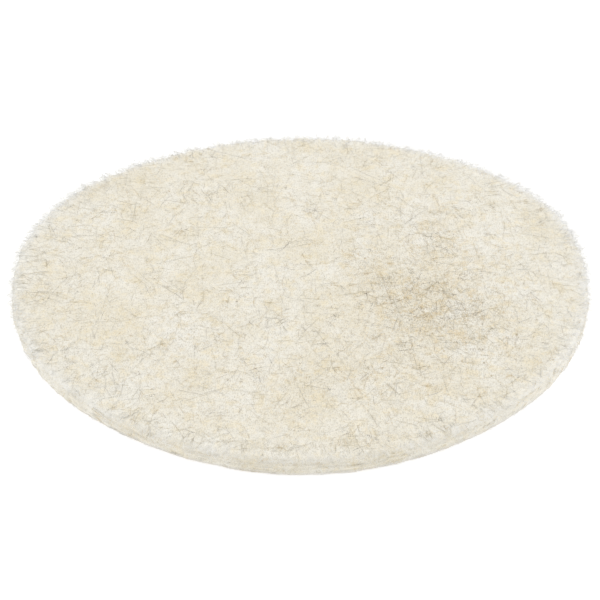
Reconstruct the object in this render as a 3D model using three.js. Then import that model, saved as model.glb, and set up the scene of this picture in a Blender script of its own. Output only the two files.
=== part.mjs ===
// Felt polishing pad for a flat lap: a round disc of pressed wool felt with a peel-and-stick back.
//
// Millimetres, +Z up. The origin is the centre of the underside, where the pad lies on a surface.
// +Z points out of the working face, and +Y runs along the slit between the halves of the liner.
//
// The pieces, from the bottom up:
//   release_liner_left, release_liner_right   coated paper that guards the adhesive until it is used
//   adhesive_film                             pressure-sensitive adhesive over the back
//   felt_disc                                 the felt, with a flat working face on top

import * as THREE from "three";

// Driving dimensions.
const INCH = 25.4;
const FELT_RADIUS = 3 * INCH;
const OVERALL_THICKNESS = 5;
const LINER_THICKNESS = 0.125;
const ADHESIVE_THICKNESS = 0.125;
const FELT_OVERHANG = 2; // the backing stops short of the felt's edge all round
const SLIT_WIDTH = 0.3;
const TOP_EDGE_RADIUS = 0.9; // the working face's edge is softly rounded

// How finely round outlines are cut up.
const CIRCLE_SEGMENTS = 96;
const TOP_EDGE_SEGMENTS = 4;

const BACKING_RADIUS = FELT_RADIUS - FELT_OVERHANG;
const ADHESIVE_BOTTOM = LINER_THICKNESS;
const FELT_BOTTOM = ADHESIVE_BOTTOM + ADHESIVE_THICKNESS;
const FELT_THICKNESS = OVERALL_THICKNESS - FELT_BOTTOM;

const FELT = new THREE.MeshStandardMaterial({ color: 0xe8e2d4, roughness: 1, metalness: 0 });
const ADHESIVE = new THREE.MeshStandardMaterial({ color: 0xdccfa4, roughness: 0.35, metalness: 0 });
const LINER = new THREE.MeshStandardMaterial({ color: 0xf0ede4, roughness: 0.55, metalness: 0 });

// A named mesh whose underside is at the given height.
function piece(name, geometry, material, bottom) {
  const mesh = new THREE.Mesh(geometry, material);
  mesh.name = name;
  mesh.position.z = bottom;
  return mesh;
}

// The die-cut felt: a flat back with a sharp edge, an upright side and a rounded edge round the top.
function feltDisc() {
  const topEdge = new THREE.Path();
  topEdge.absarc(
    FELT_RADIUS - TOP_EDGE_RADIUS,
    FELT_THICKNESS - TOP_EDGE_RADIUS,
    TOP_EDGE_RADIUS,
    0,
    Math.PI / 2,
  );
  const profile = [
    new THREE.Vector2(0, 0),
    new THREE.Vector2(FELT_RADIUS, 0),
    ...topEdge.getPoints(TOP_EDGE_SEGMENTS),
    new THREE.Vector2(0, FELT_THICKNESS),
  ];
  const geometry = new THREE.LatheGeometry(profile, CIRCLE_SEGMENTS);
  geometry.rotateX(Math.PI / 2);
  return piece("felt_disc", geometry, FELT, FELT_BOTTOM);
}

// A flat sheet of the given outline and thickness.
function sheet(outline, thickness) {
  return new THREE.ExtrudeGeometry(outline, {
    depth: thickness,
    bevelEnabled: false,
    curveSegments: CIRCLE_SEGMENTS,
  });
}

// The adhesive is one unbroken layer over the back, so its outline is a full circle.
function adhesiveFilm() {
  const outline = new THREE.Shape();
  outline.absarc(0, 0, BACKING_RADIUS, 0, 2 * Math.PI);
  return piece("adhesive_film", sheet(outline, ADHESIVE_THICKNESS), ADHESIVE, ADHESIVE_BOTTOM);
}

// Half of the liner: an arc about the given middle angle, closed by the straight cut at the slit.
function linerHalf(name, middleAngle) {
  const halfSweep = Math.PI / 2 - Math.asin(SLIT_WIDTH / 2 / BACKING_RADIUS);
  const outline = new THREE.Shape();
  outline.absarc(0, 0, BACKING_RADIUS, middleAngle - halfSweep, middleAngle + halfSweep);
  outline.closePath();
  return piece(name, sheet(outline, LINER_THICKNESS), LINER, 0);
}

const pad = new THREE.Group();
pad.add(linerHalf("release_liner_left", Math.PI));
pad.add(linerHalf("release_liner_right", 0));
pad.add(adhesiveFilm());
pad.add(feltDisc());

export default pad;
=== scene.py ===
"""The looks of the felt polishing pad: a dense body of pressed wool, the loose hairs that lie on it and
stand out of its rim, and the adhesive and paper liner on its back. Blender units are metres."""

import math
from collections import namedtuple

import bpy
import numpy as np
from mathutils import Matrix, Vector


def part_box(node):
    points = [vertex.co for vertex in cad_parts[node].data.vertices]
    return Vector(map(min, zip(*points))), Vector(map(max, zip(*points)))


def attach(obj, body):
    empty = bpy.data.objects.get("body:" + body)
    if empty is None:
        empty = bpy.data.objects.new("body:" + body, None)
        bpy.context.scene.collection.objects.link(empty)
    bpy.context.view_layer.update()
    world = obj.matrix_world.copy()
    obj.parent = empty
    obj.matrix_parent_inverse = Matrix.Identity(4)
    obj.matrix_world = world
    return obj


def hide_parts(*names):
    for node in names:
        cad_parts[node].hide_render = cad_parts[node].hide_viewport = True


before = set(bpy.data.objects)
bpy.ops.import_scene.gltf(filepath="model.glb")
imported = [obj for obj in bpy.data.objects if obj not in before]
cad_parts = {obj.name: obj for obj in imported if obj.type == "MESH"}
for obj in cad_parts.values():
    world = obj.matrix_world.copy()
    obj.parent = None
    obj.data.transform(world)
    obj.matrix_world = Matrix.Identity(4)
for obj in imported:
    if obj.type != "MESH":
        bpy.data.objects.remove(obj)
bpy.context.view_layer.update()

MM = 0.001
TURN = 2 * math.pi
FRONT = math.radians(-90)  # the direction of the rim nearest the camera, about the pad's centre

# The felt disc, from the frame.
FELT_LOW, FELT_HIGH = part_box("felt_disc")
RADIUS = FELT_HIGH.x
TOP = FELT_HIGH.z
BOTTOM = FELT_LOW.z

# The felt's outline and edges.
OUT_OF_ROUND = (  # how the cut wanders: (lobes, share of the radius, turn)
    (2, 0.004, math.radians(-35)),
    (3, 0.016, math.radians(-11)),
    (6, 0.005, math.radians(-95)),
)
RAGGED_FRONT = 0.2  # the rim's raggedness and fuzz at the front, as a share of what they are at the back
RAGGED_SIDES = 0.55  # where between the front and the back the sides are
RAGGED_SWING = 0.75  # how fast raggedness grows from the sides towards the back
EDGE_RADIUS = 1.05 * MM  # the rounding round the working face
EDGE_END = 0.98  # where along the rounding the face ends, before it is upright
HEEL_RADIUS = 0.35 * MM  # the smaller rounding at the back
WALL_BULGE = 0.2 * MM
WALL_LAYER_STRETCH = (0.35, 2.2)  # makes the cut side's lumps long and low: along the rim, and upwards
EDGE_ZONE = 3 * EDGE_RADIUS  # the painted shade of the cut side and of the heel is put only this close to the rim

# The grid of the felt's body.
FACE_CELLS = 260  # cells across the working face's grid
EDGE_ROWS = 6
WALL_ROWS = 12
HEEL_ROWS = 2

# How the wool lies.
NAP = 0.32  # hairs lie more along Y than along X
NAP_STRETCH = 0.75  # so the wool's marks are longer along Y by one over this

# Where light and shade are painted into the wool's colour: painted light along the rim, which offsets the
# shade of the rounded edge, and painted shade on the cut side and at the heel.
RIM_LIGHT_BAND = 4.3 * MM  # how far in from the rim the painted light reaches
RIM_LIGHT_FALLOFF = 1.5  # above 1, it fades quickly at first
RIM_LIGHT_SWING = 2.1  # how fast it comes in, going from the front towards the sides
RIM_LIGHT_FRONT = 0.3  # how strong the painted light is at the front's rim, as a share of the back's and the sides'
RIM_LIGHT_SIDE = 0.6  # how strong the painted light is on the cut side, as a share of the face beside it
FACE_END = 0.8  # down to this depth below the face, in edge radii, wool counts as the face's
HEEL_SHADE_BAND = 1.1 * MM  # how far up the cut side the painted grey shade of the heel reaches
SIDE_SHADE_START = (0.75, 1.0)  # the depths, in edge radii, at which the painted shade of the cut side comes in
SIDE_SHADE_END = (1.47, 7.35)  # and fades again towards the heel

# The stained, hairier patch of the working face, and fainter ones: millimetres, and a strength from 0 to 1.
Stain = namedtuple("Stain", "x y reach_x reach_y strength")
STAINS = (
    Stain(25, -5, 9, 8, 0.64),
    Stain(19, 8, 7, 6, 0.50),
    Stain(36, 17, 9, 9, 0.46),
    Stain(45, -11, 9, 8, 0.46),
    Stain(33, -18, 12, 9, 0.72),
    Stain(50, 10, 9, 8, 0.30),
    Stain(36, -4, 13, 11, 0.26),
    Stain(43, -29, 13, 11, 0.30),
    Stain(30, 32, 16, 9, 0.18),
    Stain(17, -47, 12, 8, 0.16),
    Stain(27, -28, 20, 18, 0.17),
    Stain(-30, -28, 22, 16, 0.13),
    Stain(-2, -50, 42, 18, 0.10),
    Stain(-58, 12, 12, 22, 0.08),
)

# The camera, at the photograph's viewing angle.
VIEW_ELEVATION = math.radians(33.65)
VIEW_DISTANCE = 8 * RADIUS
VIEW_TARGET = Vector((-0.3 * MM, -2.4 * MM, 0.0))
LENS = 138.3
SENSOR = 36.0
NEAREST_SEEN = 0.01
FURTHEST_SEEN = 50

# The studio. The sky is brightest at the sides and dimmest in front, by these strengths.
FLOOR_HALF_SIDE = 6.0  # large enough to fill the view
FLOOR_COLOUR = (0.8, 0.8, 0.8)
FLOOR_GLOW = 0.45
SKY_ALL_ROUND = 0.859
SKY_SIDES = 0.56
SKY_FRONT = -0.40
KEY_PLACE = Vector((0.05, 0.25, 0.92))
KEY_SIZE = 0.8
KEY_POWER = 2.2

# Colours, linear.
WHITE = (1.0, 1.0, 1.0)
IVORY = (0.838, 0.808, 0.722)
CREAM = (0.775, 0.715, 0.572)
TAN = (0.82, 0.695, 0.43)
STAINED_WOOL = (0.64, 0.46, 0.19)
DARK_FLECK = (0.40, 0.36, 0.27)
# painted light: the near-white that the rim is lifted towards, offsetting the shade of the rounded edge
RIM_LIGHT_COLOUR = (0.94, 0.93, 0.89)
# painted shade: the grey at the heel, where the pad meets the floor
HEEL_SHADE = (0.68, 0.68, 0.70)
# painted shade on the cut side, darkest just below the rounded edge
CUT_SIDE_SHADE = (0.42, 0.35, 0.21)
ADHESIVE_THICK = (0.66, 0.55, 0.33)
ADHESIVE_THIN = (0.78, 0.70, 0.50)
PAPER_PALE = (0.86, 0.82, 0.73)
PAPER_DEEP = (0.80, 0.75, 0.65)
HAIR_COLOURS = {
    "white_hair": (0.88, 0.87, 0.82),
    "cream_hair": (0.80, 0.74, 0.60),
    "tan_hair": (0.68, 0.60, 0.42),
    "golden_hair": (0.58, 0.43, 0.19),
    "olive_hair": (0.40, 0.34, 0.19),
    "brown_hair": (0.26, 0.18, 0.10),
    "grey_hair": (0.33, 0.31, 0.25),
    "black_hair": (0.06, 0.05, 0.04),
    "fuzz": (0.93, 0.93, 0.92),
    "grey_fuzz": (0.54, 0.53, 0.48),
}
HAIR_DEEPER = 0.86  # the deepest and the palest tone of a hair, against its colour
HAIR_PALER = 1.10

# The materials' noises. Scale is how many blots a millimetre holds, detail how many finer noises are laid on
# top, and roughness how strong those are.
Noise = namedtuple("Noise", "scale detail roughness", defaults=(2, 0.5))
NOISE_COLOUR = 1  # the noise node's second output, which is a vector
NOISE_MIDDLE = (0.5, 0.5, 0.5)
STREAK_DRIFT = Noise(scale=0.3)
STREAK = Noise(scale=1.0, detail=1)
CLOUDS = Noise(scale=0.09, detail=3, roughness=0.55)
BLOTS = Noise(scale=0.22, detail=3)
MOTTLE = Noise(scale=0.5, detail=4)
GRAIN = Noise(scale=1.6, detail=2, roughness=0.6)
SPECKS = Noise(scale=4.5, detail=0)
HAIR_TONES = Noise(scale=0.6)
ADHESIVE_CLOUDS = Noise(scale=0.35, detail=4, roughness=0.6)
ADHESIVE_GRAIN = Noise(scale=3.0, detail=3)
PAPER_CLOUDS = Noise(scale=0.8, detail=5, roughness=0.7)
PAPER_FIBRES = Noise(scale=2.0, detail=3)
SPECK_STRETCH = (1.0, 0.45, 1.0)  # makes specks longer along Y
PAPER_STRETCH = (0.6, 3.0, 1.0)  # makes fibres run along X

# Painted streaks: fine hairs below the modelled ones.
STREAK_DIRECTIONS = 6
STREAK_STRETCH = (0.7, 6.5, 2.5)  # makes a streak long and thin
STREAK_APART = (17.0, 9.0, 5.0)  # keeps the streaks of one direction from repeating another's
STREAK_WANDER = 3.0  # how far they wander off their line, in millimetres

# Smooth steps, by which a noise or a mark becomes a share: to_low where it is at low, and to_high at high.
Step = namedtuple("Step", "low high to_low to_high", defaults=(0.0, 1.0))
WIDE_STEP = Step(0.3, 0.7)
NARROW_STEP = Step(0.35, 0.65)
PALE_STREAK = Step(0.58, 0.70)
DARK_STREAK = Step(0.40, 0.28)
TAN_STEP = Step(0.44, 0.76, to_high=0.44)
STAIN_BLOTS = Step(0.38, 0.62, to_low=0.45, to_high=1.2)
STAIN_MOTTLE = Step(0.46, 0.60, to_low=0.05)
STAIN_GRAIN = Step(0.35, 0.65, to_low=0.25, to_high=0.70)
SPECK_STEP = Step(0.46, 0.70)
ADHESIVE_ROUGHNESS = Step(0.3, 0.7, to_low=0.28, to_high=0.5)
PAPER_ROUGHNESS = Step(0.3, 0.7, to_low=0.4, to_high=0.55)

# How much of each mark shows in the felt.
TAN_GATHERING = 0.06
SPECK_SHARE = 0.38  # on clean wool
SPECK_STAINED = 0.28  # and this much more on stained wool
DARK_SHARE = 0.18
DARK_STAINED = 0.15
PALE_SHARE = 0.38
# how much of the painted shade of the cut side, the painted light along the rim and the painted shade of the
# heel shows
CUT_SIDE_SHADE_SHARE = 0.045
RIM_LIGHT_SHARE = 0.50
HEEL_SHADE_SHARE = 0.55

# Surfaces.
FELT_SURFACE = {
    "Roughness": 0.95,
    "Sheen_Weight": 0.15,
    "Sheen_Roughness": 0.6,
    "Sheen_Tint": (1.0, 0.98, 0.93),
}
HAIR_SURFACE = {"Roughness": 0.65, "Sheen_Weight": 0.1}
ADHESIVE_GLOSS = 0.3
FLOOR_ROUGHNESS = 0.9

# Relief. A relief is the height of a full bump, and a bump is the share of it that shows.
FELT_RELIEF = 0.06 * MM
FACE_BUMP = 0.21
CUT_SIDE_BUMP = 0.06
PALE_STANDS = 0.8  # how high the pale streaks, the dark ones and the specks stand, as shares of the height
DARK_STANDS = -0.6
SPECK_STANDS = 0.8
ADHESIVE_RELIEF = 0.05 * MM
ADHESIVE_BUMP = 0.3
PAPER_RELIEF = 0.02 * MM
PAPER_BUMP = 0.2

# Kinds of hairs. A layer of any kind has a seed of its own, and its length is the usual length of its hairs.
# Lengths, thicknesses and lifts are in millimetres.
#
# Face hairs lie on the working face. Bend is how far they turn along their length, and lift is how proud of
# the felt their middles stand. Clumping is how much they gather where tan wool does, and patch how much they
# gather in the stained patch. Points is how many points each has. A layer with knots is gathered in that many
# small knots.
FaceHairs = namedtuple(
    "FaceHairs",
    "name colour seed count length thickness bend lift clumping patch points knots",
    defaults=(0,),
)
# Nap is short hairs that rise from the face at a slant.
Nap = namedtuple("Nap", "name colour seed count length thickness")
# Combed hairs lie outwards on the face by the rim, singly or in a number of tufts. Stray is how far they turn
# from straight outwards.
CombedHairs = namedtuple("CombedHairs", "name colour seed count length thickness stray tufts", defaults=(0,))
# Side hairs lie along the cut side, and fuzz stands out of the rim.
SideHairs = namedtuple("SideHairs", "name colour seed count length thickness")
Fuzz = namedtuple("Fuzz", "name colour seed count length thickness")

HAIR_LAYERS = (
    FaceHairs(
        "white_hairs", "white_hair", seed=21, count=5000, length=4.0, thickness=0.045,
        bend=0.35, lift=0.03, clumping=-0.3, patch=0.0, points=6,
    ),
    FaceHairs(
        "cream_hairs", "cream_hair", seed=22, count=5000, length=3.5, thickness=0.045,
        bend=0.35, lift=0.03, clumping=0.2, patch=0.5, points=6,
    ),
    Nap("white_nap", "white_hair", seed=27, count=3500, length=0.9, thickness=0.055),
    FaceHairs(
        "tan_hairs", "tan_hair", seed=37, count=5000, length=3.2, thickness=0.04,
        bend=0.2, lift=0.03, clumping=0.1, patch=0.5, points=5,
    ),
    FaceHairs(
        "golden_hairs", "golden_hair", seed=23, count=2700, length=2.8, thickness=0.04,
        bend=0.22, lift=0.07, clumping=0.5, patch=7.0, points=5,
    ),
    FaceHairs(
        "brown_hairs", "brown_hair", seed=36, count=560, length=4.5, thickness=0.04,
        bend=0.12, lift=0.10, clumping=0.3, patch=5.0, points=7,
    ),
    FaceHairs(
        "olive_hairs", "olive_hair", seed=39, count=760, length=6.0, thickness=0.037,
        bend=0.10, lift=0.16, clumping=0.2, patch=0.8, points=9,
    ),
    FaceHairs(
        "golden_flecks", "golden_hair", seed=28, count=4200, length=0.7, thickness=0.055,
        bend=0.3, lift=0.05, clumping=0.5, patch=12.0, points=4, knots=600,
    ),
    FaceHairs(
        "brown_flecks", "brown_hair", seed=24, count=1500, length=0.55, thickness=0.06,
        bend=0.3, lift=0.05, clumping=0.3, patch=11.0, points=4, knots=210,
    ),
    FaceHairs(
        "grey_flecks", "grey_hair", seed=29, count=1000, length=0.8, thickness=0.05,
        bend=0.3, lift=0.05, clumping=0.0, patch=3.0, points=4,
    ),
    FaceHairs(
        "grey_hairs", "grey_hair", seed=25, count=330, length=7.0, thickness=0.042,
        bend=0.20, lift=0.16, clumping=0.0, patch=0.6, points=11,
    ),
    FaceHairs(
        "black_hairs", "black_hair", seed=26, count=230, length=4.5, thickness=0.042,
        bend=0.3, lift=0.10, clumping=0.2, patch=2.5, points=9,
    ),
    FaceHairs(
        "black_flecks", "black_hair", seed=35, count=750, length=0.6, thickness=0.055,
        bend=0.4, lift=0.05, clumping=0.0, patch=22.0, points=4, knots=150,
    ),
    CombedHairs(
        "combed_grey_hairs", "grey_hair", seed=33, count=420, length=2.6, thickness=0.035, stray=0.45,
    ),
    CombedHairs(
        "tufted_dark_hairs", "olive_hair", seed=38, count=110, length=3.2, thickness=0.042, stray=0.22,
        tufts=15,
    ),
    CombedHairs(
        "combed_white_hairs", "white_hair", seed=34, count=1500, length=3.0, thickness=0.05, stray=0.45,
    ),
    SideHairs("side_white_hairs", "white_hair", seed=31, count=1500, length=4.0, thickness=0.055),
    SideHairs("side_golden_hairs", "golden_hair", seed=32, count=500, length=3.0, thickness=0.045),
    Fuzz("rim_white_fuzz", "fuzz", seed=41, count=7500, length=3.0, thickness=0.05),
    Fuzz("rim_cream_fuzz", "white_hair", seed=42, count=1800, length=3.0, thickness=0.05),
    Fuzz("rim_golden_fuzz", "tan_hair", seed=44, count=250, length=2.4, thickness=0.045),
    Fuzz("rim_grey_fuzz", "grey_fuzz", seed=43, count=1900, length=3.4, thickness=0.04),
)

# Standing nap.
NAP_SLANT = (math.radians(15), math.radians(70))
NAP_TURN = 0.6  # how far its hairs turn sideways as they rise
NAP_FALL = 0.6  # how much of their slant they lose towards their tips

# Combed hairs.
COMBED_START = 1.0 * MM  # how far in from the rim they are nearest to it
COMBED_BAND = 4 * MM  # how far in from there they usually are
COMBED_TURN = 0.35  # how far they turn along their length
COMBED_LIFT = 0.12 * MM
COMBED_STOP = 0.2 * MM  # from this close to the rim on, they keep the height that the face has there
TUFT_REACH = 2.1 * MM  # how far a tuft's hairs usually start from its middle
TUFT_SPREAD = math.radians(35)  # how far round from the front the tufts lie

# Hairs on the cut side.
SIDE_LIFT = 0.12 * MM
SIDE_BEND = 0.7
SIDE_SLOPE = 0.35  # they run more along the rim than up and down, by this share
SIDE_LOWEST = 0.3 * MM  # where their middles are, above the back
SIDE_HIGHEST = 0.5 * MM  # and below the face
SIDE_FOOT = 0.1 * MM  # where they stop, above the back
SIDE_HEAD = 0.3 * MM  # and below the face
SIDE_PROUD = (0.1, 1.0)  # the least and the most that their middles stand proud, as shares of their lift

# Fuzz.
FUZZ_FROM_FACE = 0.65  # the share of the rim's fuzz that starts on the working face
FUZZ_BAND = 3.0 * MM  # how far in from the rim that part starts
FUZZ_ROOT = 0.15 * MM  # how deep in the cut side the rest starts
FUZZ_HEIGHTS = (0.02, 0.97)  # how far up the cut side it starts, as a share of the way, squared
FUZZ_EDGE_END = 0.99  # where along the rounded edge it starts at the highest
FUZZ_TRIES = 4  # places tried for each hair, as many are dropped where the rim is less ragged
FUZZ_SHORTEST = 0.35  # its length where the rim is least ragged, as a share of its usual length
FUZZ_SPRAY = 0.55  # how far its hairs turn from straight outwards
FUZZ_TURN = 0.5  # how far they turn sideways along their length
FUZZ_RISE = 0.5  # the steepest that they leave the face
FUZZ_EDGE_RISE = 0.8  # and how much more steeply they leave the rounded edge than the upright side
FUZZ_SIDE_RISE = 0.3  # how far their rise from the cut side strays
FUZZ_DROOP = (-0.3, 0.4)  # how far they sink along their length: usually, and give or take
FUZZ_FLOOR = 0.6 * BOTTOM  # they lie no lower than this

# Every hair.
HAIR_SIDES = 3  # each hair is a thin three-sided tube
HAIR_CORE = 0.25  # the share of its thickness that doesn't taper
HAIR_BLUNTNESS = 0.02  # its ends are as thick as it is at this share of its length from them
HAIR_THICKNESSES = (0.7, 1.2)  # the thinnest and the thickest in a layer, against its usual thickness
HAIR_ROOT = 0.05 * MM  # how deep in the felt a standing hair starts
HAIR_SINK = 0.02 * MM  # how deep in the felt a lying hair's ends are
HAIR_ARCH = (0.2, 1.0)  # the least and the most that a lying hair's middle stands proud, against its lift
HAIR_DIP = 0.25  # how far it dips in and out of the felt on the way, as a share of its lift
HAIR_WAVES = 1.2  # how many waves it has along it
WAVER_SHARE = 1 / 3  # how far they turn it, against how far it bends
NEVER_ZERO = 1e-4  # keeps the direction of a hair's width from vanishing where the hair stands upright
UP = np.array([0.0, 0.0, 1.0])
LENGTH_CUT = (-2, 1.8)  # the shortest and the longest hairs of a layer, in spreads from their usual length
LENGTH_SPREAD = 0.4  # how far lengths stray from the usual one, as a share of it
COMBED_LENGTH_SPREAD = 0.35
FUZZ_LENGTH_SPREAD = 0.33
TRIES_PER_HAIR = 12  # places tried for each, as many are dropped where hairs are sparse
NEARLY_GREATEST = 0.995  # the share of those places where hairs are sparser than at the fullest ones
KNOT_REACH = 0.5 * MM  # how far a knot's flecks usually lie from its middle
FACE_OVERHANG = 0.8 * MM  # how far past the rim a hair lying on the face may reach


# ---------------------------------------------------------------- shape of the felt


class Waves:
    """A smooth random field: many sine waves in random directions."""

    def __init__(self, seed, shortest, longest, height, count=28):
        rng = np.random.default_rng(seed)
        wavelength = np.exp(rng.uniform(math.log(shortest), math.log(longest), count))
        heading = rng.uniform(0, TURN, count)
        self.kx = TURN * np.cos(heading) / wavelength
        self.ky = TURN * np.sin(heading) / wavelength
        self.phase = rng.uniform(0, TURN, count)
        self.height = height * math.sqrt(2 / count)

    def __call__(self, x, y):
        total = np.zeros(np.broadcast(x, y).shape)
        for kx, ky, phase in zip(self.kx, self.ky, self.phase):
            total += np.sin(kx * x + ky * y + phase)
        return self.height * total


FACE_LUMPS = Waves(seed=11, shortest=2.5 * MM, longest=14 * MM, height=0.05 * MM, count=36)
FACE_FLUFF = Waves(seed=12, shortest=1.1 * MM, longest=2.4 * MM, height=0.02 * MM, count=36)
RIM_WAVER = Waves(seed=13, shortest=1.3 * MM, longest=8 * MM, height=0.32 * MM, count=40)
WALL_LUMPS = Waves(seed=14, shortest=1.5 * MM, longest=6 * MM, height=0.07 * MM)
CLUMPS = Waves(seed=15, shortest=3 * MM, longest=14 * MM, height=1.0, count=60)  # where tan wool gathers


def growth(value, start, end):
    """0 up to start, 1 from end on, and a straight line between them."""
    return np.clip((value - start) / (end - start), 0, 1)


def raggedness(angle):
    """How ragged the rim is: cleanly cut at the front, and pulled about at the back and the sides."""
    from_front = np.clip(RAGGED_SIDES + RAGGED_SWING * np.sin(angle), 0, 1)
    return RAGGED_FRONT + (1 - RAGGED_FRONT) * from_front


def outline(angle):
    """The felt's radius in a direction: nearly round, with a slight waver."""
    wander = sum(share * np.sin(lobes * angle + turn) for lobes, share, turn in OUT_OF_ROUND)
    x = RADIUS * np.cos(angle)
    y = RADIUS * np.sin(angle)
    return RADIUS * (1 + wander) + raggedness(angle) * RIM_WAVER(x, y)


def inside_outline(x, y):
    """How far a place is in from the rim."""
    return outline(np.arctan2(y, x)) - np.hypot(x, y)


def rounded_off(past, end=1.0):
    """How far the rounded edge falls away, past its start and as far as the given share of it."""
    past = np.clip(past, 0, end * EDGE_RADIUS)
    return EDGE_RADIUS - np.sqrt(EDGE_RADIUS**2 - past**2)


def face_height(x, y):
    """Height of the working face, which rolls over at the rim."""
    drop = rounded_off(EDGE_RADIUS - inside_outline(x, y), EDGE_END)
    return TOP + FACE_LUMPS(x, y) + FACE_FLUFF(x, y) - drop


def wall_radius(angle, z):
    """Radius of the cut side at a height: it bulges a little, and is lumpy in long low layers."""
    along, upwards = WALL_LAYER_STRETCH
    bulge = WALL_BULGE * np.sin(math.pi * growth(z, BOTTOM, TOP))
    return outline(angle) + bulge + WALL_LUMPS(angle * RADIUS * along, z * upwards)


def painted_rim_light(x, y, on_face):
    """How strongly painted light lifts the wool's colour towards white near the rim, offsetting the rounded
    edge's shade: from 0 on the face to 1 at the rim.
    """
    near_rim = (1 - growth(inside_outline(x, y), 0, RIM_LIGHT_BAND)) ** RIM_LIGHT_FALLOFF
    from_front = np.clip(RIM_LIGHT_SWING * (1 + np.sin(np.arctan2(y, x))), 0, 1)
    face_share = RIM_LIGHT_FRONT + (1 - RIM_LIGHT_FRONT) * from_front
    return near_rim * np.where(on_face, face_share, RIM_LIGHT_SIDE * from_front)


def stain_share(x, y):
    """How stained the face is at a place, from 0 to about 1."""
    total = np.zeros(np.broadcast(x, y).shape)
    for stain in STAINS:
        dx = (x / MM - stain.x) / stain.reach_x
        dy = (y / MM - stain.y) / stain.reach_y
        total += stain.strength * np.exp(-(dx**2 + dy**2))
    return total


def grid_on_disc(cells):
    """(radius, angle) of the points of a square grid that is bent into a unit disc, its cells about even."""
    across = np.linspace(-1, 1, cells + 1)
    a, b = np.meshgrid(across, across, indexing="ij")
    wide = np.abs(a) >= np.abs(b)
    with np.errstate(divide="ignore", invalid="ignore"):
        angle = np.where(wide, math.pi / 4 * b / a, math.pi / 2 - math.pi / 4 * a / b)
    radius = np.where(wide, a, b)
    angle = np.nan_to_num(angle)
    x = radius * np.cos(angle)
    y = radius * np.sin(angle)
    return np.hypot(x, y).ravel(), np.arctan2(y, x).ravel()


def grid_numbers(cells):
    """The number of each of the grid's points."""
    points = cells + 1
    return np.arange(points**2).reshape(points, points)


def grid_border(cells):
    """Numbers of the grid's border points, once round anticlockwise."""
    number = grid_numbers(cells)
    return np.concatenate([number[:-1, 0], number[-1, :-1], number[:0:-1, -1], number[0, :0:-1]])


def rim_profile():
    """(inset from the wall, height) of each row from the working face's edge down to the back."""
    wall_top = TOP - EDGE_RADIUS
    wall_foot = BOTTOM + HEEL_RADIUS
    rows = []
    for i in range(1, EDGE_ROWS + 1):
        turn = math.pi / 2 * i / EDGE_ROWS
        rows.append((EDGE_RADIUS * (1 - math.sin(turn)), TOP - EDGE_RADIUS * (1 - math.cos(turn))))
    for i in range(1, WALL_ROWS + 1):
        rows.append((0.0, wall_top + (wall_foot - wall_top) * i / WALL_ROWS))
    for i in range(1, HEEL_ROWS + 1):
        turn = math.pi / 2 * i / HEEL_ROWS
        rows.append((HEEL_RADIUS * (1 - math.cos(turn)), wall_foot - HEEL_RADIUS * math.sin(turn)))
    return rows


def felt_points(profile):
    """The body's points: the face's grid, a ring for each row of the profile and the middle of the back."""
    reach, angle = grid_on_disc(FACE_CELLS)
    face_radius = reach * (outline(angle) - EDGE_RADIUS)
    x = face_radius * np.cos(angle)
    y = face_radius * np.sin(angle)
    face = np.stack([x, y, face_height(x, y)], axis=1)
    border = grid_border(FACE_CELLS)
    rim_angle = angle[border]
    rim_lumps = face[border, 2] - TOP
    points = [face]
    for inset, z in profile:
        radius = wall_radius(rim_angle, z) - inset
        height = z + rim_lumps * growth(z, BOTTOM, TOP)
        points.append(np.stack([radius * np.cos(rim_angle), radius * np.sin(rim_angle), height], axis=1))
    points.append(np.array([[0, 0, BOTTOM]]))
    return np.concatenate(points)


def felt_faces(rows):
    """The body's faces: the grid's cells, a band down to each of the rings and the back's triangles."""
    number = grid_numbers(FACE_CELLS)
    cells = np.stack([number[:-1, :-1], number[1:, :-1], number[1:, 1:], number[:-1, 1:]], axis=-1)
    faces = cells.reshape(-1, 4).tolist()
    upper = grid_border(FACE_CELLS)
    start = number.size
    for _ in range(rows):
        lower = start + np.arange(len(upper))
        faces += np.stack([upper, lower, np.roll(lower, -1), np.roll(upper, -1)], axis=1).tolist()
        upper = lower
        start += len(upper)
    centre = start
    faces += [[int(a), centre, int(b)] for a, b in zip(upper, np.roll(upper, -1))]
    return faces


def mark_wool(body, points):
    """Stores how tan and stained the wool is at each point, how much painted light the rim gets, and where
    the painted shade of the cut side and its heel falls.
    """
    x, y, z = points.T
    depth = (TOP - z) / EDGE_RADIUS
    at_rim = np.hypot(x, y) > RADIUS - EDGE_ZONE
    # the cut side and the heel get painted shade, the rim painted light
    shaded_cut_side = growth(depth, *SIDE_SHADE_START) * (1 - growth(depth, *SIDE_SHADE_END))
    heel_shade = 1 - growth(z, BOTTOM, BOTTOM + HEEL_SHADE_BAND)
    store(body, "tan_wool", CLUMPS(x, y))
    store(body, "stain", stain_share(x, y))
    store(body, "rim_light", painted_rim_light(x, y, depth < FACE_END))
    store(body, "heel_shade", np.where(at_rim, heel_shade, 0))
    store(body, "shaded_cut_side", np.where(at_rim, shaded_cut_side, 0))


def store(piece, name, values):
    """Stores one number at each of the mesh's points, for its material to read."""
    attribute = piece.data.attributes.new(name, "FLOAT", "POINT")
    attribute.data.foreach_set("value", values.astype(np.float32))


def new_mesh_object(name, points, faces):
    mesh = bpy.data.meshes.new(name)
    mesh.from_pydata(points.tolist(), [], faces)
    mesh.shade_smooth()
    mesh.update()
    made = bpy.data.objects.new(name, mesh)
    bpy.context.scene.collection.objects.link(made)
    return made


def felt_body():
    """The pressed felt as one closed mesh: the face's grid, the rows round the rim and the flat back."""
    profile = rim_profile()
    points = felt_points(profile)
    body = new_mesh_object("felt_body", points, felt_faces(len(profile)))
    mark_wool(body, points)
    return body


# ---------------------------------------------------------------- hairs


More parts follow.
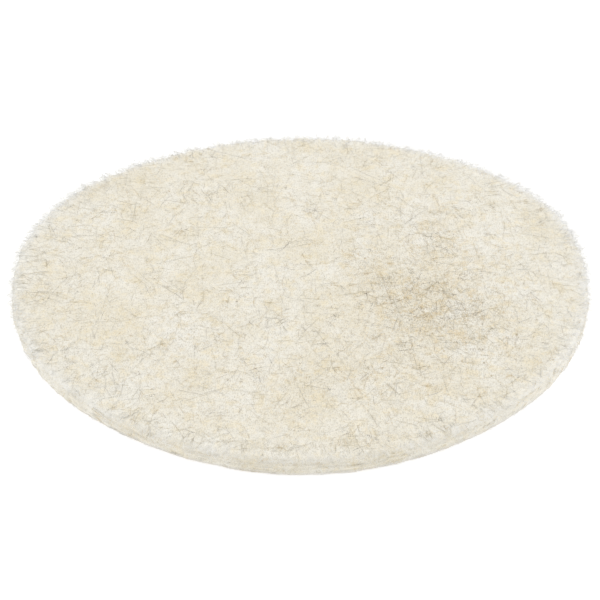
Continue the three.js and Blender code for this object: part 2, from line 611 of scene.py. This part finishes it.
def unit(vectors):
    """The same directions, each with a length of 1: hairs x points x 3."""
    return vectors / np.linalg.norm(vectors, axis=2, keepdims=True)


def column(values):
    """One value for each hair, to go with each of its points."""
    return values[:, None]


def share_along(points):
    """How far along a hair each of its points is, from 0 to 1, to go with every hair."""
    return np.linspace(0, 1, points)[None, :]


def hair_mesh(name, spines, thickness):
    """Closed, tapered tubes: spines is hairs x points x 3, thickness is each hair's greatest width."""
    hairs, points, _ = spines.shape
    along = unit(np.gradient(spines, axis=1))
    across = unit(np.cross(along, UP) + NEVER_ZERO)
    rise = np.cross(across, along)
    share = np.clip(share_along(points), HAIR_BLUNTNESS, 1 - HAIR_BLUNTNESS)
    taper = HAIR_CORE + (1 - HAIR_CORE) * np.sqrt(np.sin(math.pi * share))
    half = column(thickness) / 2 * taper
    rings = []
    for side in range(HAIR_SIDES):
        turn = TURN * side / HAIR_SIDES
        offset = math.cos(turn) * across + math.sin(turn) * rise
        rings.append(spines + half[:, :, None] * offset)
    verts = np.stack(rings, axis=2).reshape(-1, 3)

    number = np.arange(hairs * points * HAIR_SIDES).reshape(hairs, points, HAIR_SIDES)
    here = number[:, :-1, :]
    ahead = number[:, 1:, :]
    quads = np.stack([here, np.roll(here, -1, axis=2), np.roll(ahead, -1, axis=2), ahead], axis=-1)
    faces = quads.reshape(-1, 4).tolist()
    faces += number[:, 0, ::-1].tolist()
    faces += number[:, -1, :].tolist()
    return new_mesh_object(name, verts, faces)


def scatter(rng, count, clumping, patch, knots=0):
    """Random places on the face, thicker where tan wool gathers and in the stained patch, or in knots."""
    if knots:
        x, y = scatter(rng, knots, clumping, patch)
        chosen = rng.integers(0, len(x), count)
        return x[chosen] + rng.normal(0, KNOT_REACH, count), y[chosen] + rng.normal(0, KNOT_REACH, count)
    tries = TRIES_PER_HAIR * count
    reach = np.sqrt(rng.uniform(0, 1, tries)) * RADIUS
    angle = rng.uniform(0, TURN, tries)
    x = reach * np.cos(angle)
    y = reach * np.sin(angle)
    weight = np.exp(clumping * CLUMPS(x, y)) + patch * stain_share(x, y)
    greatest = np.quantile(weight, NEARLY_GREATEST)
    kept = np.flatnonzero(rng.uniform(0, 1, tries) < weight / greatest)[:count]
    return x[kept], y[kept]


def nap_lie(angle):
    """Turns evenly spread angles towards the Y axis, the way that the wool lies."""
    return angle + NAP * np.sin(2 * angle)


def bent_paths(rng, count, points, length, bend):
    """Flat paths about the origin, x and y each hairs x points, that curve and waver."""
    step = np.linspace(-0.5, 0.5, points)[None, :]
    turn = column(rng.normal(0, bend, count))
    waver = column(rng.normal(0, WAVER_SHARE * bend, count))
    phase = column(rng.uniform(0, TURN, count))
    lie = nap_lie(column(rng.uniform(0, TURN, count)))
    heading = lie + turn * step + waver * np.sin(TURN * HAIR_WAVES * step + phase)
    stride = column(length) / (points - 1)
    x = np.cumsum(np.cos(heading) * stride, axis=1)
    y = np.cumsum(np.sin(heading) * stride, axis=1)
    return x - x.mean(axis=1, keepdims=True), y - y.mean(axis=1, keepdims=True)


def grown(start, yaw, tilt, length):
    """Hairs that start at the given points and turn as they go: yaw and tilt are hairs x points."""
    count, points = yaw.shape
    stride = column(length / (points - 1))
    moves = np.stack([np.cos(tilt) * np.cos(yaw), np.cos(tilt) * np.sin(yaw), np.sin(tilt)], axis=2)
    moves = moves[:, 1:] * stride[:, :, None]
    stays = np.zeros((count, 1, 3))
    return start[:, None, :] + np.cumsum(np.concatenate([stays, moves], axis=1), axis=1)


def lengths(rng, count, usual, spread):
    """Lengths about the usual one. Short hairs are as common as long ones, and the extremes are cut off."""
    shortest, longest = LENGTH_CUT
    return usual * np.exp(np.clip(rng.normal(0, spread, count), shortest * spread, longest * spread))


def thicknesses(rng, count, usual):
    return usual * rng.uniform(*HAIR_THICKNESSES, count)


def face_hairs(layer):
    """Hairs that lie on the working face, with their ends worked into it."""
    rng = np.random.default_rng(layer.seed)
    x0, y0 = scatter(rng, layer.count, layer.clumping, layer.patch, layer.knots)
    length = lengths(rng, len(x0), layer.length * MM, LENGTH_SPREAD)
    px, py = bent_paths(rng, len(x0), layer.points, length, layer.bend)
    x = column(x0) + px
    y = column(y0) + py
    kept = (inside_outline(x, y) > -FACE_OVERHANG).all(axis=1)
    x = x[kept]
    y = y[kept]
    count = len(x)
    share = share_along(layer.points)
    arch = np.sin(math.pi * share) * column(rng.uniform(*HAIR_ARCH, count))
    dip_depth = column(rng.normal(0, HAIR_DIP, count))
    dip = dip_depth * np.sin(2 * TURN * share + column(rng.uniform(0, TURN, count)))
    z = face_height(x, y) + layer.lift * MM * (arch + dip) - HAIR_SINK
    return np.stack([x, y, z], axis=2), thicknesses(rng, count, layer.thickness * MM)


def standing_nap(layer, points=4):
    """Short hairs that rise from the working face at a slant."""
    rng = np.random.default_rng(layer.seed)
    x, y = scatter(rng, layer.count, clumping=0.0, patch=0.0)
    count = len(x)
    length = lengths(rng, count, layer.length * MM, LENGTH_SPREAD)
    heading = rng.uniform(0, TURN, count)
    slant = rng.uniform(*NAP_SLANT, count)
    share = share_along(points)
    yaw = column(heading) + column(rng.normal(0, NAP_TURN, count)) * share
    tilt = column(slant) * (1 - NAP_FALL * share)
    roots = np.stack([x, y, face_height(x, y) - HAIR_ROOT], axis=1)
    return grown(roots, yaw, tilt, length), thicknesses(rng, count, layer.thickness * MM)


def combed_hairs(layer, points=6):
    """Hairs near the rim that lie outwards on the working face, as if combed over the edge."""
    rng = np.random.default_rng(layer.seed)
    count = layer.count
    angle = rng.uniform(0, TURN, count)
    inset = COMBED_START + rng.exponential(COMBED_BAND, count)
    if layer.tufts:
        chosen = rng.integers(0, layer.tufts, count)
        angle = rng.normal(FRONT, TUFT_SPREAD, count)
        angle = angle[chosen] + rng.normal(0, TUFT_REACH, count) / RADIUS
        inset = inset[chosen] + rng.normal(0, TUFT_REACH / 2, count)
    radius = outline(angle) - inset
    length = lengths(rng, count, layer.length * MM, COMBED_LENGTH_SPREAD)
    share = share_along(points)
    outwards = column(angle + rng.normal(0, layer.stray, count))
    heading = outwards + column(rng.normal(0, COMBED_TURN, count)) * share
    roots = np.stack([radius * np.cos(angle), radius * np.sin(angle), 0 * angle], axis=1)
    spines = grown(roots, heading, 0 * heading, length)
    x = spines[:, :, 0]
    y = spines[:, :, 1]
    pulled_in = np.minimum(1, (outline(np.arctan2(y, x)) - COMBED_STOP) / np.hypot(x, y))
    spines[:, :, 2] = face_height(x * pulled_in, y * pulled_in) + COMBED_LIFT * np.sin(math.pi * share)
    return spines, thicknesses(rng, count, layer.thickness * MM)


def side_hairs(layer, points=6):
    """Hairs that lie along the cut side."""
    rng = np.random.default_rng(layer.seed)
    count = layer.count
    length = lengths(rng, count, layer.length * MM, LENGTH_SPREAD)
    px, py = bent_paths(rng, count, points, length, SIDE_BEND)
    angle = (column(rng.uniform(0, TURN * RADIUS, count)) + px) / RADIUS
    middle = rng.uniform(BOTTOM + SIDE_LOWEST, TOP - SIDE_HIGHEST, count)
    z = np.clip(column(middle) + SIDE_SLOPE * py, BOTTOM + SIDE_FOOT, TOP - SIDE_HEAD)
    proud = SIDE_LIFT * np.sin(math.pi * share_along(points)) * column(rng.uniform(*SIDE_PROUD, count))
    radius = wall_radius(angle, z) - rounded_off(z - (TOP - EDGE_RADIUS)) + proud
    spines = np.stack([radius * np.cos(angle), radius * np.sin(angle), z], axis=2)
    return spines, thicknesses(rng, count, layer.thickness * MM)


def rim_fuzz(layer, points=5):
    """Loose hairs that stand out of the rim, from its side and from the edge of the working face."""
    rng = np.random.default_rng(layer.seed)
    tries = FUZZ_TRIES * layer.count
    angle = rng.uniform(0, TURN, tries)
    kept = np.flatnonzero(rng.uniform(0, 1, tries) < raggedness(angle))[: layer.count]
    angle = angle[kept]
    count = len(angle)
    from_face = rng.uniform(0, 1, count) < FUZZ_FROM_FACE

    z = BOTTOM + (TOP - BOTTOM) * np.sqrt(rng.uniform(*FUZZ_HEIGHTS, count))
    past_edge = np.clip(z - (TOP - EDGE_RADIUS), 0, FUZZ_EDGE_END * EDGE_RADIUS)
    side_radius = wall_radius(angle, z) - rounded_off(past_edge) - FUZZ_ROOT
    face_radius = outline(angle) - rng.uniform(0, 1, count) * FUZZ_BAND
    radius = np.where(from_face, face_radius, side_radius)
    x = radius * np.cos(angle)
    y = radius * np.sin(angle)
    z = np.where(from_face, face_height(x, y) - HAIR_ROOT, z)

    length = lengths(rng, count, layer.length * MM, FUZZ_LENGTH_SPREAD)
    length *= FUZZ_SHORTEST + (1 - FUZZ_SHORTEST) * raggedness(angle)
    heading = angle + rng.normal(0, FUZZ_SPRAY, count)
    face_rise = rng.uniform(0.0, FUZZ_RISE, count)
    side_rise = FUZZ_EDGE_RISE * past_edge / EDGE_RADIUS + rng.normal(0, FUZZ_SIDE_RISE, count)
    rise = np.where(from_face, face_rise, side_rise)
    share = share_along(points)
    yaw = column(heading) + column(rng.normal(0, FUZZ_TURN, count)) * share
    tilt = column(rise) + column(rng.normal(*FUZZ_DROOP, count)) * share
    spines = grown(np.stack([x, y, z], axis=1), yaw, tilt, length)
    spines[:, :, 2] = np.maximum(spines[:, :, 2], FUZZ_FLOOR)
    return spines, thicknesses(rng, count, layer.thickness * MM)


# ---------------------------------------------------------------- materials

# The sockets of a mix of colours, and the output of an attribute's number.
MIX_SHARE = 0
MIX_FIRST = 6
MIX_OTHER = 7
MIX_RESULT = 2
ATTRIBUTE_NUMBER = 2


class Graph:
    """The nodes of a material or world. Its methods make one node each, and return what comes out of it."""

    def __init__(self, owner, shader="Principled BSDF"):
        self.owner = owner
        self.owner.use_nodes = True
        self.tree = self.owner.node_tree
        self.shader = self.tree.nodes[shader]

    def put(self, socket, value):
        """Sets an input to a number or a colour, or links it to another node's output."""
        if isinstance(value, bpy.types.NodeSocket):
            self.tree.links.new(value, socket)
        elif isinstance(value, tuple) and len(value) == 3 and socket.type == "RGBA":
            socket.default_value = (*value, 1)
        else:
            socket.default_value = value

    def add(self, kind, inputs, output=0, **settings):
        """Makes a node of the given kind, and returns one of its outputs."""
        node = self.tree.nodes.new("ShaderNode" + kind)
        for name, value in settings.items():
            setattr(node, name, value)
        for name, value in inputs.items():
            self.put(node.inputs[name], value)
        return node.outputs[output]

    def finish(self, **inputs):
        """Sets the shader's inputs, and returns the material or world."""
        for name, value in inputs.items():
            self.put(self.shader.inputs[name.replace("_", " ")], value)
        return self.owner

    def place(self, kind):
        return self.tree.nodes.new("ShaderNodeTexCoord").outputs[kind]

    def millimetres(self):
        """The place on the piece, in millimetres."""
        return self.scaled(self.place("Object"), 1 / MM)

    def mark(self, name):
        """A number that the mesh stores at each of its points."""
        return self.add("Attribute", {}, output=ATTRIBUTE_NUMBER, attribute_name=name)

    def scaled(self, vector, factor):
        return self.add("VectorMath", {0: vector, "Scale": factor}, operation="SCALE")

    def mapped(self, vector, **inputs):
        named = {name.title(): value for name, value in inputs.items()}
        return self.add("Mapping", {"Vector": vector} | named)

    def noise(self, vector, noise, output=0):
        inputs = {"Scale": noise.scale, "Detail": noise.detail, "Roughness": noise.roughness}
        return self.add("TexNoise", {"Vector": vector} | inputs, output)

    def step(self, value, step):
        inputs = {"From Min": step.low, "From Max": step.high, "To Min": step.to_low, "To Max": step.to_high}
        return self.add("MapRange", {"Value": value} | inputs, interpolation_type="SMOOTHSTEP")

    def sum(self, a, b):
        return self.add("Math", {0: a, 1: b}, operation="ADD")

    def times(self, a, b):
        return self.add("Math", {0: a, 1: b}, operation="MULTIPLY")

    def most(self, a, b):
        return self.add("Math", {0: a, 1: b}, operation="MAXIMUM")

    def blend(self, share, colour, other):
        """The first colour, with the given share of the other over it."""
        node = self.tree.nodes.new("ShaderNodeMix")
        node.data_type = "RGBA"
        self.put(node.inputs[MIX_SHARE], share)
        self.put(node.inputs[MIX_FIRST], colour)
        self.put(node.inputs[MIX_OTHER], other)
        return node.outputs[MIX_RESULT]

    def bump(self, height, strength, distance):
        return self.add("Bump", {"Height": height, "Strength": strength, "Distance": distance})


def streaks(g, place):
    """Fine hairs painted in crossing directions: (pale, dark), 1 on a hair of that kind and 0 beside it."""
    drift = g.noise(place, STREAK_DRIFT, NOISE_COLOUR)
    centred = g.add("VectorMath", {0: drift, 1: NOISE_MIDDLE}, operation="SUBTRACT")
    wandering = g.add("VectorMath", {0: place, 1: g.scaled(centred, STREAK_WANDER)}, operation="ADD")
    pale = 0.0
    dark = 0.0
    for i in range(STREAK_DIRECTIONS):
        lie = float(nap_lie(math.pi * (i + 0.5) / STREAK_DIRECTIONS))
        apart = tuple(i * distance for distance in STREAK_APART)
        along = g.mapped(wandering, location=apart, rotation=(0, 0, -lie), scale=STREAK_STRETCH)
        streak = g.noise(along, STREAK)
        pale = g.most(pale, g.step(streak, PALE_STREAK))
        dark = g.most(dark, g.step(streak, DARK_STREAK))
    return pale, dark


def felt_material():
    """Ivory wool clouded with tan, streaked by fine hairs that cross each other, and stained in one patch."""
    g = Graph(bpy.data.materials.new("felt"))
    place = g.mapped(g.millimetres(), scale=(1.0, NAP_STRETCH, 1.0))
    pale, dark = streaks(g, place)
    speck = g.noise(g.mapped(place, scale=SPECK_STRETCH), SPECKS)
    mottle = g.noise(place, MOTTLE)
    stain = g.mark("stain")
    shaded_cut_side = g.mark("shaded_cut_side")

    stained = g.times(stain, g.step(g.noise(place, BLOTS), STAIN_BLOTS))
    stained = g.times(stained, g.step(mottle, STAIN_MOTTLE))
    stained = g.times(stained, g.step(g.noise(place, GRAIN), STAIN_GRAIN))
    tan = g.sum(g.times(g.mark("tan_wool"), TAN_GATHERING), mottle)
    specks = g.times(g.step(speck, SPECK_STEP), g.sum(SPECK_SHARE, g.times(stain, SPECK_STAINED)))
    dark_hairs = g.times(dark, g.sum(DARK_SHARE, g.times(stain, DARK_STAINED)))

    colour = g.blend(g.step(g.noise(place, CLOUDS), WIDE_STEP), IVORY, CREAM)
    colour = g.blend(g.step(tan, TAN_STEP), colour, TAN)
    colour = g.blend(stained, colour, STAINED_WOOL)
    colour = g.blend(specks, colour, DARK_FLECK)
    colour = g.blend(dark_hairs, colour, DARK_FLECK)
    colour = g.blend(g.times(pale, PALE_SHARE), colour, HAIR_COLOURS["white_hair"])
    # painted shade on the cut side
    colour = g.blend(g.times(shaded_cut_side, CUT_SIDE_SHADE_SHARE), colour, CUT_SIDE_SHADE)
    # painted light along the rim, offsetting the shade of the rounded edge
    colour = g.blend(g.times(g.mark("rim_light"), RIM_LIGHT_SHARE), colour, RIM_LIGHT_COLOUR)
    # painted shade at the heel, where the pad meets the floor
    colour = g.blend(g.times(g.mark("heel_shade"), HEEL_SHADE_SHARE), colour, HEEL_SHADE)

    height = g.sum(g.times(pale, PALE_STANDS), g.times(dark, DARK_STANDS))
    height = g.sum(height, g.times(speck, SPECK_STANDS))
    strength = g.sum(FACE_BUMP, g.times(shaded_cut_side, CUT_SIDE_BUMP - FACE_BUMP))
    bump = g.bump(height, strength, FELT_RELIEF)
    return g.finish(Base_Color=colour, Normal=bump, **FELT_SURFACE)


def hair_material(name):
    """Wool hair of one colour, a little deeper in some places than in others."""
    colour = HAIR_COLOURS[name]
    deeper = tuple(part * HAIR_DEEPER for part in colour)
    paler = tuple(min(part * HAIR_PALER, 1) for part in colour)
    g = Graph(bpy.data.materials.new(name))
    tone = g.noise(g.millimetres(), HAIR_TONES)
    return g.finish(Base_Color=g.blend(g.step(tone, NARROW_STEP), deeper, paler), **HAIR_SURFACE)


def adhesive_material():
    """Amber adhesive, thicker in some places than in others, with a wet gloss."""
    g = Graph(bpy.data.materials.new("adhesive"))
    place = g.millimetres()
    cloud = g.noise(place, ADHESIVE_CLOUDS)
    colour = g.blend(g.step(cloud, WIDE_STEP), ADHESIVE_THICK, ADHESIVE_THIN)
    roughness = g.step(cloud, ADHESIVE_ROUGHNESS)
    bump = g.bump(g.noise(place, ADHESIVE_GRAIN), ADHESIVE_BUMP, ADHESIVE_RELIEF)
    return g.finish(Base_Color=colour, Normal=bump, Roughness=roughness, Coat_Weight=ADHESIVE_GLOSS)


def liner_material():
    """Off-white paper with a satin coat, cloudy and faintly ribbed by its fibres."""
    g = Graph(bpy.data.materials.new("liner_paper"))
    place = g.millimetres()
    fibre = g.noise(g.mapped(place, scale=PAPER_STRETCH), PAPER_FIBRES)
    colour = g.blend(g.step(g.noise(place, PAPER_CLOUDS), WIDE_STEP), PAPER_PALE, PAPER_DEEP)
    bump = g.bump(fibre, PAPER_BUMP, PAPER_RELIEF)
    return g.finish(Base_Color=colour, Normal=bump, Roughness=g.step(fibre, PAPER_ROUGHNESS))


def dress(piece, material):
    """Gives a piece one material, in its mesh and in its own material slots."""
    piece.data.materials.clear()
    piece.data.materials.append(material)
    for slot in piece.material_slots:
        slot.material = material


# ---------------------------------------------------------------- the pad's pieces


def make_felt():
    body = felt_body()
    dress(body, felt_material())
    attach(body, "pad")
    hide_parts("felt_disc")


GROWN_BY = {
    FaceHairs: face_hairs,
    Nap: standing_nap,
    CombedHairs: combed_hairs,
    SideHairs: side_hairs,
    Fuzz: rim_fuzz,
}


def make_hairs():
    materials = {name: hair_material(name) for name in HAIR_COLOURS}
    for layer in HAIR_LAYERS:
        spines, thickness = GROWN_BY[type(layer)](layer)
        piece = hair_mesh(layer.name, spines, thickness)
        dress(piece, materials[layer.colour])
        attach(piece, "pad")
        if isinstance(layer, Fuzz):
            piece.visible_shadow = False  # light goes through the fuzz, so it doesn't shade the rim
            piece.visible_diffuse = False


def dress_backing():
    dress(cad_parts["adhesive_film"], adhesive_material())
    paper = liner_material()
    dress(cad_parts["release_liner_left"], paper)
    dress(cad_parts["release_liner_right"], paper)


# ---------------------------------------------------------------- floor, light and camera


def make_floor():
    reach = FLOOR_HALF_SIDE
    mesh = bpy.data.meshes.new("floor")
    corners = [(-reach, -reach, 0), (reach, -reach, 0), (reach, reach, 0), (-reach, reach, 0)]
    mesh.from_pydata(corners, [], [(0, 1, 2, 3)])
    floor = bpy.data.objects.new("floor", mesh)
    bpy.context.scene.collection.objects.link(floor)
    g = Graph(bpy.data.materials.new("floor"))
    glowing = g.finish(
        Base_Color=FLOOR_COLOUR, Roughness=FLOOR_ROUGHNESS,
        Emission_Color=WHITE, Emission_Strength=FLOOR_GLOW,
    )
    dress(floor, glowing)


def make_sky():
    """Soft light from all round, brighter from the sides and dimmer from in front."""
    g = Graph(bpy.data.worlds.new("studio"), shader="Background")
    direction = g.add("SeparateXYZ", {"Vector": g.place("Generated")}).node.outputs
    sideways = g.times(direction["X"], direction["X"])
    frontwards = g.most(g.times(direction["Y"], -1.0), 0.0)
    strength = g.sum(SKY_ALL_ROUND, g.times(sideways, SKY_SIDES))
    strength = g.sum(strength, g.times(frontwards, SKY_FRONT))
    bpy.context.scene.world = g.finish(Color=WHITE, Strength=strength)


def make_key_light():
    data = bpy.data.lights.new("key", "AREA")
    data.shape = "DISK"
    data.size = KEY_SIZE
    data.energy = KEY_POWER
    light = bpy.data.objects.new("key", data)
    light.location = KEY_PLACE
    light.rotation_euler = (-KEY_PLACE).to_track_quat("-Z", "Y").to_euler()
    bpy.context.scene.collection.objects.link(light)


def make_camera():
    data = bpy.data.cameras.new("camera")
    data.lens = LENS
    data.sensor_width = SENSOR
    data.clip_start = NEAREST_SEEN
    data.clip_end = FURTHEST_SEEN
    camera = bpy.data.objects.new("camera", data)
    away = Vector((0, -math.cos(VIEW_ELEVATION), math.sin(VIEW_ELEVATION)))
    camera.location = VIEW_TARGET + VIEW_DISTANCE * away
    camera.rotation_euler = (-away).to_track_quat("-Z", "Y").to_euler()
    bpy.context.scene.collection.objects.link(camera)
    bpy.context.scene.camera = camera


make_camera()
make_floor()
make_sky()
make_key_light()
make_felt()
make_hairs()
dress_backing()
bpy.context.scene.view_settings.view_transform = "Standard"
